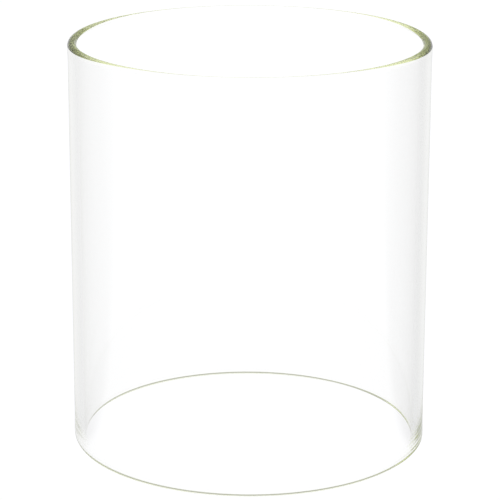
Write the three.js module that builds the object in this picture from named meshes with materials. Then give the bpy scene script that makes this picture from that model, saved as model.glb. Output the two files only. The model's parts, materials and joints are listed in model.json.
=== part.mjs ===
// Open-ended glass cylinder: a length of drawn glass tubing, cut square at both
// ends, with both rims fire-polished to a round edge. One solid piece.
// Millimetres, +Z up. The origin is the centre of the bottom rim's plane.

import * as THREE from 'three';

// Driving dimensions
const OUTSIDE_DIAMETER = 100;
const HEIGHT = 115;
const WALL = 2.5;
const RIM_LAND = 0.3; // flat width left along the middle of each rounded rim

// Mesh resolution
const STEPS_AROUND = 128;
const STEPS_PER_EDGE = 4;

const QUARTER_TURN = Math.PI / 2;

// A quarter-round edge about (centreX, centreY), walked anticlockwise.
function quarterRound(centreX, centreY, radius, startAngle) {
  const points = [];
  for (let step = 0; step <= STEPS_PER_EDGE; step += 1) {
    const angle = startAngle + (QUARTER_TURN * step) / STEPS_PER_EDGE;
    points.push(new THREE.Vector2(
      centreX + radius * Math.cos(angle),
      centreY + radius * Math.sin(angle),
    ));
  }
  return points;
}

// The wall's section: x is the distance from the axis and y the height. It runs
// up the outside, over the top rim, down the bore and back under the bottom rim.
function wallSection() {
  const outside = OUTSIDE_DIAMETER / 2;
  const bore = outside - WALL;
  const edge = (WALL - RIM_LAND) / 2;
  const section = [
    ...quarterRound(outside - edge, HEIGHT - edge, edge, 0),
    ...quarterRound(bore + edge, HEIGHT - edge, edge, QUARTER_TURN),
    ...quarterRound(bore + edge, edge, edge, 2 * QUARTER_TURN),
    ...quarterRound(outside - edge, edge, edge, 3 * QUARTER_TURN),
  ];
  section.push(section[0].clone());
  return section;
}

function clearGlass() {
  return new THREE.MeshStandardMaterial({
    color: 0xe9eddc,
    roughness: 0.03,
    metalness: 0,
    transparent: true,
    opacity: 0.3,
  });
}

function glassCylinder() {
  const geometry = new THREE.LatheGeometry(wallSection(), STEPS_AROUND);
  geometry.rotateX(QUARTER_TURN);
  const mesh = new THREE.Mesh(geometry, clearGlass());
  mesh.name = 'glass_cylinder';
  return mesh;
}

const part = new THREE.Group();
part.add(glassCylinder());

export default part;
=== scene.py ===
"""Looks of an open-ended glass cylinder: one length of clear drawn glass with both rims
fire-polished round, standing on a plain pale studio floor. Metres and +Z up, in the frame
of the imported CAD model."""

import json
import math

import bpy
import numpy as np
from mathutils import Matrix, Vector


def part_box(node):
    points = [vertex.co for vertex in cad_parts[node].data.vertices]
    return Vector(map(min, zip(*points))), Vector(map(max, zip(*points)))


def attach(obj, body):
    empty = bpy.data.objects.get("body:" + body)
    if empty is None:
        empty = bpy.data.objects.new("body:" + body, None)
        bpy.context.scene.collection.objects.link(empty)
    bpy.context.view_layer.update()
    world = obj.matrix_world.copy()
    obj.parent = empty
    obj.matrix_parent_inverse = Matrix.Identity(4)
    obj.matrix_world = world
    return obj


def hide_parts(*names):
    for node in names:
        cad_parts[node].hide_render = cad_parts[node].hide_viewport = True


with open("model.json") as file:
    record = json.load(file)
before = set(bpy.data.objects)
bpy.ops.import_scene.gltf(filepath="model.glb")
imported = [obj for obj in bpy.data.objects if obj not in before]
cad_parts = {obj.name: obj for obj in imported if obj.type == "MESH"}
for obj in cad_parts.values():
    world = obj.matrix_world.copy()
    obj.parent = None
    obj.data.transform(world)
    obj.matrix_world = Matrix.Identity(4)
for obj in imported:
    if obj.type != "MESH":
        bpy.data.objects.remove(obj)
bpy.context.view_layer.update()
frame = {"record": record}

# Sizes that the frame gives
LOW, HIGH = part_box("glass_cylinder")
HEIGHT = HIGH.z - LOW.z
OUTSIDE_RADIUS = (HIGH.x - LOW.x) / 2
MOUNTS = {mount["name"]: mount for mount in frame["record"]["mounts"]}
WALL = 2 * (OUTSIDE_RADIUS - MOUNTS["bottom_rim"]["pos_m"][0])

# The rims, melted round: surface tension leaves each a little thicker than the wall
OUTER_SWELL = 0.00010  # how far the outside stands out at a rim
BORE_SWELL = 0.00008  # how far the bore's side stands in at a rim
RIM_RISE = 0.00134  # height of the rounded part
NECK_LENGTH = 0.003  # length over which the swelling fades into the wall
NECK_REACH = 3 * NECK_LENGTH  # the wall is plain from here on

# Unevenness from melting by hand. A wave is (share, count round the rim, starting angle).
HAND_WAVE = 0.00006  # how much lower than its height the top rim gets
HAND_WAVES = ((0.5, 2, 0.7), (0.3, 3, 2.1), (0.2, 7, 4.0))
HAND_WAVE_FADE = 8  # power of the height by which the wave fades down the wall
MOST_MELTED = 0.00040  # how much taller than RIM_RISE most of the bottom rim is rounded
LEAST_MELTED = -0.00044  # the same where it was heated least
LEAST_MELTED_AT = math.radians(5)  # azimuth of that place
LEAST_MELTED_SPREAD = math.radians(60)  # how far round it reaches
MELT_RIPPLE = 0.00004  # smaller unevenness of the same kind, all round
MELT_RIPPLES = ((1.0, 5, 1.0), (0.6, 11, 2.5))

# Mesh resolution
STEPS_AROUND = 480
STEPS_OVER_RIM = 24
STEPS_PER_NECK = 12
NECK_CROWDING = 1.5  # above 1 crowds the neck's steps towards the rim

# Glass
REFRACTIVE_INDEX = 1.47
ABSORPTION_PER_METRE = (1.0, 0.7, 3.4)  # red, green, blue: the glass's yellow-green tint
DRAW_LINE_DEPTH = 0.0000015
DRAW_LINE_WIDTH = 0.004
DRAW_LINE_STRETCH = (1, 1, 60)  # the tube was drawn along Z
DRAW_LINE_DETAIL = 1.0
HAZE_SIZE = 0.030
HAZE_STRETCH = (1, 1, 1.6)
HAZE_DETAIL = 5.0
HAZE_EDGE = (0.55, 0.75)  # levels of the noise where haze starts and is full
WIPED_ROUGHNESS = 0.0
HAZE_ROUGHNESS = 0.02

# Studio: a white floor and a white dome of light
WHITE = 1.03
FLOOR_GAP = 0.00002  # space left under the glass
FLOOR_REACH = 12.0
FLOOR_COLOUR = (1.0, 1.0, 1.02)

# The dome's dim, slightly olive band low down, which the rims gather
BAND_COLOUR = (0.34, 0.355, 0.25)
BAND = (  # degrees up, share of BAND_COLOUR
    (3.3, 0.0),
    (5.2, 0.84),
    (14, 0.84),
    (17, 1.0),
    (21, 1.0),
    (26, 0.0),
)

# Painted shade for the walls' reflections, from a glowing card seen only in reflections: how
# bright it is, and where
CARD_LEFT = 0.15
CARD_RIGHT = 0.0
CARD_BEHIND = 0.76
CARD_IN_FRONT = 0.80
CARD_UNDER = 0.80
CARD_BEARING = math.radians(31)  # middle of each dark side, round from the X axis
CARD_HALF_WIDTH = math.radians(11)
CARD_SOFT_EDGE = math.radians(26)
CARD_UNDER_EDGE = (1.01 * OUTSIDE_RADIUS, 1.25 * OUTSIDE_RADIUS)
CARD_UPSTAND = 1.1  # height of the card's upturned border, which covers the horizon
WALL_LEAN = 0.9 * OUTSIDE_RADIUS  # how far from the axis the lines that walls reflect pass
LEAN_EDGE = (-0.6 * OUTSIDE_RADIUS, 0.1 * OUTSIDE_RADIUS)  # Y where leaning starts, is full

# Camera: it looks along +Y and down, from in front of the axis
CAMERA_BACK = 12.423 * OUTSIDE_RADIUS
CAMERA_UP = 4.852 * OUTSIDE_RADIUS
CAMERA_PITCH = math.radians(16.86)
CAMERA_YAW = math.radians(0.02)
CAMERA_ROLL = math.radians(0.2)
CAMERA_LENS = 165.6
SENSOR_WIDTH = 36.0

LIGHT_BOUNCES = 96


# ---------------------------------------------------------------- mesh

def swelling(height):
    """Share of its nearer rim's swelling that the wall has at a height."""
    from_rim = min(height, HEIGHT - height) - RIM_RISE
    return math.exp(-(max(from_rim, 0) / NECK_LENGTH) ** 2)


def outer_radius(height):
    return OUTSIDE_RADIUS + OUTER_SWELL * swelling(height)


def bore_radius(height):
    return OUTSIDE_RADIUS - WALL - BORE_SWELL * swelling(height)


def neck_heights():
    """Heights of the section's points on the wall, close together near the rims."""
    shares = [(k / STEPS_PER_NECK) ** NECK_CROWDING for k in range(1, STEPS_PER_NECK + 1)]
    lower = [RIM_RISE + NECK_REACH * share for share in shares]
    upper = [HEIGHT - height for height in reversed(lower)]
    return lower + upper


def over_rim(centre_height, start_angle):
    """The rounded rim: half an ellipse across the wall's thickness."""
    outside, bore = outer_radius(centre_height), bore_radius(centre_height)
    middle = (outside + bore) / 2
    half_width = (outside - bore) / 2
    angles = [start_angle + math.pi * k / STEPS_OVER_RIM for k in range(STEPS_OVER_RIM + 1)]
    return [
        (middle + half_width * math.cos(angle), centre_height + RIM_RISE * math.sin(angle))
        for angle in angles
    ]


def wall_section():
    """The wall's closed outline as (radius, height), starting up the outside."""
    heights = neck_heights()
    outside = [(outer_radius(height), height) for height in heights]
    bore = [(bore_radius(height), height) for height in reversed(heights)]
    top = over_rim(HEIGHT - RIM_RISE, 0)
    bottom = over_rim(RIM_RISE, math.pi)
    return np.array(outside + top + bore + bottom)


def waves(angle, table):
    """Sum of the table's waves round the rim."""
    return sum(share * np.sin(count * angle + start) for share, count, start in table)


def hand_wave(angle):
    """Unevenness of the top rim's height round the rim, from 0 to -1."""
    return (waves(angle, HAND_WAVES) - 1) / 2


def melt_change(angle):
    """Change of the bottom rim's rounding in height round the rim, from uneven heating."""
    off = np.angle(np.exp(1j * (angle - LEAST_MELTED_AT)))
    share_of_least = np.exp(-(off / LEAST_MELTED_SPREAD) ** 2)
    ripple = MELT_RIPPLE * waves(angle, MELT_RIPPLES)
    return MOST_MELTED + (LEAST_MELTED - MOST_MELTED) * share_of_least + ripple


def surface_points(section):
    """The outline turned round the axis: an array by step around and step of outline."""
    angle = np.arange(STEPS_AROUND)[:, None] * 2 * math.pi / STEPS_AROUND
    radius, height = section[None, :, 0], section[None, :, 1]
    share_of_top = np.clip(height / HEIGHT, 0, 1) ** HAND_WAVE_FADE
    above_bottom_rim = np.maximum(height - RIM_RISE, 0)
    neck_fade = np.exp(-(above_bottom_rim / NECK_LENGTH) ** 2)
    share_of_bottom = np.minimum(height / RIM_RISE, 1) * neck_fade
    lift = HAND_WAVE * hand_wave(angle) * share_of_top
    sink = melt_change(angle) * share_of_bottom
    return np.stack([np.cos(angle) * radius, np.sin(angle) * radius, height + lift + sink], -1)


def slope_along(points, axis):
    """Direction of the surface along one way through the grid, exact for uneven steps."""
    back = points - np.roll(points, 1, axis)
    ahead = np.roll(points, -1, axis) - points
    back_length = np.linalg.norm(back, axis=-1, keepdims=True)
    ahead_length = np.linalg.norm(ahead, axis=-1, keepdims=True)
    return back / back_length * ahead_length + ahead / ahead_length * back_length


def surface_normals(points):
    normals = np.cross(slope_along(points, 0), slope_along(points, 1))
    return normals / np.linalg.norm(normals, axis=-1, keepdims=True)


def grid_faces(around, along):
    """Quads of a grid that closes on itself both ways."""
    faces = []
    for i in range(around):
        j = (i + 1) % around
        for k in range(along):
            m = (k + 1) % along
            faces.append((i * along + k, j * along + k, j * along + m, i * along + m))
    return faces


def add_to_scene(name, data):
    thing = bpy.data.objects.new(name, data)
    bpy.context.scene.collection.objects.link(thing)
    return thing


def glass_wall():
    section = wall_section()
    points = surface_points(section)
    mesh = bpy.data.meshes.new("glass_wall")
    faces = grid_faces(STEPS_AROUND, len(section))
    mesh.from_pydata(points.reshape(-1, 3).tolist(), [], faces)
    mesh.shade_smooth()
    normals = surface_normals(points).reshape(-1, 3).tolist()
    mesh.normals_split_custom_set_from_vertices(normals)
    return add_to_scene("glass_wall", mesh)


# ---------------------------------------------------------------- node helpers

def connect(tree, value, socket):
    """Feeds a socket from another socket, or sets it to a plain number."""
    if isinstance(value, bpy.types.NodeSocket):
        tree.links.new(value, socket)
    else:
        socket.default_value = value


def maths(tree, operation, *values):
    node = tree.nodes.new("ShaderNodeMath")
    node.operation = operation
    for value, socket in zip(values, node.inputs):
        connect(tree, value, socket)
    return node.outputs["Value"]


def eased(tree, value, start, end, low, high):
    """Goes smoothly from low to high as value goes from start to end."""
    node = tree.nodes.new("ShaderNodeMapRange")
    node.interpolation_type = "SMOOTHSTEP"
    connect(tree, value, node.inputs["Value"])
    connect(tree, start, node.inputs["From Min"])
    connect(tree, end, node.inputs["From Max"])
    connect(tree, low, node.inputs["To Min"])
    connect(tree, high, node.inputs["To Max"])
    return node.outputs["Result"]


def coordinates(tree, kind):
    return tree.nodes.new("ShaderNodeTexCoord").outputs[kind]


def axes(tree, vector):
    """The X, Y and Z of a vector."""
    split = tree.nodes.new("ShaderNodeSeparateXYZ")
    connect(tree, vector, split.inputs["Vector"])
    return split.outputs


def noise(tree, place, size, stretch, detail):
    """Noise with blobs of about the given size, stretched along the axes."""
    mapping = tree.nodes.new("ShaderNodeMapping")
    mapping.inputs["Scale"].default_value = [1 / (size * s) for s in stretch]
    connect(tree, place, mapping.inputs["Vector"])
    node = tree.nodes.new("ShaderNodeTexNoise")
    node.inputs["Scale"].default_value = 1.0
    node.inputs["Detail"].default_value = detail
    connect(tree, mapping.outputs["Vector"], node.inputs["Vector"])
    return node.outputs["Fac"]


# ---------------------------------------------------------------- materials

def clear_glass():
    """Clear glass: draw lines along the tube, and a faint haze where it was wiped dry."""
    material = bpy.data.materials.new("clear_glass")
    material.use_nodes = True
    tree = material.node_tree
    shader = tree.nodes["Principled BSDF"]
    shader.inputs["Base Color"].default_value = (1, 1, 1, 1)
    shader.inputs["Transmission Weight"].default_value = 1.0
    shader.inputs["IOR"].default_value = REFRACTIVE_INDEX
    place = coordinates(tree, "Object")

    haze = noise(tree, place, HAZE_SIZE, HAZE_STRETCH, HAZE_DETAIL)
    roughness = eased(tree, haze, *HAZE_EDGE, WIPED_ROUGHNESS, HAZE_ROUGHNESS)
    connect(tree, roughness, shader.inputs["Roughness"])

    bump = tree.nodes.new("ShaderNodeBump")
    bump.inputs["Strength"].default_value = 1.0
    bump.inputs["Distance"].default_value = DRAW_LINE_DEPTH
    lines = noise(tree, place, DRAW_LINE_WIDTH, DRAW_LINE_STRETCH, DRAW_LINE_DETAIL)
    connect(tree, lines, bump.inputs["Height"])
    connect(tree, bump.outputs["Normal"], shader.inputs["Normal"])

    depth = tree.nodes.new("ShaderNodeVolumeAbsorption")
    densest = max(ABSORPTION_PER_METRE)
    tint = [1 - share / densest for share in ABSORPTION_PER_METRE]
    depth.inputs["Color"].default_value = (*tint, 1)
    depth.inputs["Density"].default_value = densest
    connect(tree, depth.outputs["Volume"], tree.nodes["Material Output"].inputs["Volume"])
    return material


def glowing(name, colour):
    """A material that only gives light, and its light's shader."""
    material = bpy.data.materials.new(name)
    material.use_nodes = True
    tree = material.node_tree
    tree.nodes.clear()
    light = tree.nodes.new("ShaderNodeEmission")
    light.inputs["Color"].default_value = (*colour, 1)
    output = tree.nodes.new("ShaderNodeOutputMaterial")
    connect(tree, light.outputs["Emission"], output.inputs["Surface"])
    return material, light


def white_floor():
    material, light = glowing("white_floor", FLOOR_COLOUR)
    light.inputs["Strength"].default_value = WHITE
    return material


def distance_from_axis(tree, x, y):
    squares = [maths(tree, "MULTIPLY", value, value) for value in (x, y)]
    return maths(tree, "SQRT", maths(tree, "ADD", *squares))


def painted_reflection_card():
    """Painted reflection: a glowing card, dark to the left and right of the object, paler
    behind, in front and under it.

    The painted shade goes by the bearing at which the wall's reflection runs over the card, so
    that the wall shows the same shade from top to bottom."""
    # its glow stands in for the shade that the walls reflect: painted reflection
    material, light = glowing("painted_reflection_card", (1, 1, 1))
    tree = material.node_tree
    x, y, _ = axes(tree, coordinates(tree, "Object"))
    distance = distance_from_axis(tree, x, y)
    azimuth = maths(tree, "ARCTAN2", y, maths(tree, "ABSOLUTE", x))
    sine_of_lean = maths(tree, "MINIMUM", maths(tree, "DIVIDE", WALL_LEAN, distance), 1.0)
    lean = maths(tree, "ARCSINE", sine_of_lean)
    lean_share = eased(tree, y, *LEAN_EDGE, 0.0, 1.0)
    bearing = maths(tree, "MULTIPLY_ADD", lean, lean_share, azimuth)
    ahead = maths(tree, "SUBTRACT", bearing, CARD_BEARING)
    back = maths(tree, "SUBTRACT", CARD_BEARING, bearing)
    dark_edge = (CARD_HALF_WIDTH, CARD_HALF_WIDTH + CARD_SOFT_EDGE)
    on_right = maths(tree, "GREATER_THAN", x, 0.0)
    side = eased(tree, on_right, 0.0, 1.0, CARD_LEFT, CARD_RIGHT)
    behind = eased(tree, ahead, *dark_edge, side, CARD_BEHIND)
    in_front = eased(tree, back, *dark_edge, behind, CARD_IN_FRONT)
    shade = eased(tree, distance, *CARD_UNDER_EDGE, CARD_UNDER, in_front)
    connect(tree, shade, light.inputs["Strength"])
    return material


# ---------------------------------------------------------------- studio

def ground(name, material, upstand):
    """A level sheet under the object, with an upturned border if upstand isn't 0."""
    reach = FLOOR_REACH
    square = [(-reach, -reach), (reach, -reach), (reach, reach), (-reach, reach)]
    points = [(x, y, 0) for x, y in square]
    faces = [(0, 1, 2, 3)]
    if upstand:
        points += [(x, y, upstand) for x, y in square]
        faces += [(k, (k + 1) % 4, (k + 1) % 4 + 4, k + 4) for k in range(4)]
    mesh = bpy.data.meshes.new(name)
    mesh.from_pydata(points, [], faces)
    mesh.materials.append(material)
    sheet = add_to_scene(name, mesh)
    sheet.location.z = LOW.z - FLOOR_GAP
    return sheet


def floor_and_card():
    """The floor is seen directly and through the glass; the card, a glowing sheet of painted
    reflection, only in reflections.
    """
    floor = ground("floor", white_floor(), 0)
    floor.visible_glossy = False
    # a glowing card seen only in reflections, which paints shade into the walls' reflections
    card = ground("card", painted_reflection_card(), CARD_UPSTAND)
    card.visible_camera = False
    card.visible_transmission = False
    card.visible_diffuse = False
    card.visible_shadow = False


def light_dome():
    """A white dome of light with a dimmer band low down, shaded by height alone."""
    world = bpy.data.worlds.new("light_dome")
    world.use_nodes = True
    bpy.context.scene.world = world
    tree = world.node_tree
    _, _, up = axes(tree, coordinates(tree, "Generated"))
    ramp = tree.nodes.new("ShaderNodeValToRGB")
    connect(tree, maths(tree, "MULTIPLY_ADD", up, 0.5, 0.5), ramp.inputs["Fac"])
    stops = ramp.color_ramp.elements
    stops[1].position = 1.0
    for stop in stops:
        stop.color = (1, 1, 1, 1)
    for degrees, share in BAND:
        stop = stops.new((math.sin(math.radians(degrees)) + 1) / 2)
        stop.color = (*(1 + (dim - 1) * share for dim in BAND_COLOUR), 1)
    background = tree.nodes["Background"]
    connect(tree, ramp.outputs["Color"], background.inputs["Color"])
    background.inputs["Strength"].default_value = WHITE


def camera():
    data = bpy.data.cameras.new("camera")
    data.sensor_width = SENSOR_WIDTH
    data.lens = CAMERA_LENS
    eye = add_to_scene("camera", data)
    eye.location = (0, -CAMERA_BACK, CAMERA_UP)
    level = math.cos(CAMERA_PITCH)
    ahead = Vector((
        math.sin(CAMERA_YAW) * level,
        math.cos(CAMERA_YAW) * level,
        -math.sin(CAMERA_PITCH),
    ))
    aim = ahead.to_track_quat("-Z", "Y").to_matrix()
    eye.rotation_euler = (aim @ Matrix.Rotation(CAMERA_ROLL, 3, "Z")).to_euler()
    bpy.context.scene.camera = eye


def light_paths():
    """Glass guides light along its walls, so rays need many bounces. White stays white."""
    scene = bpy.context.scene
    scene.view_settings.view_transform = "Standard"
    scene.cycles.max_bounces = LIGHT_BOUNCES
    scene.cycles.glossy_bounces = LIGHT_BOUNCES
    scene.cycles.transmission_bounces = LIGHT_BOUNCES


# ---------------------------------------------------------------- the scene

glass = glass_wall()
glass.data.materials.append(clear_glass())
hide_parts("glass_cylinder")
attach(glass, "root")

floor_and_card()
light_dome()
light_paths()
camera()
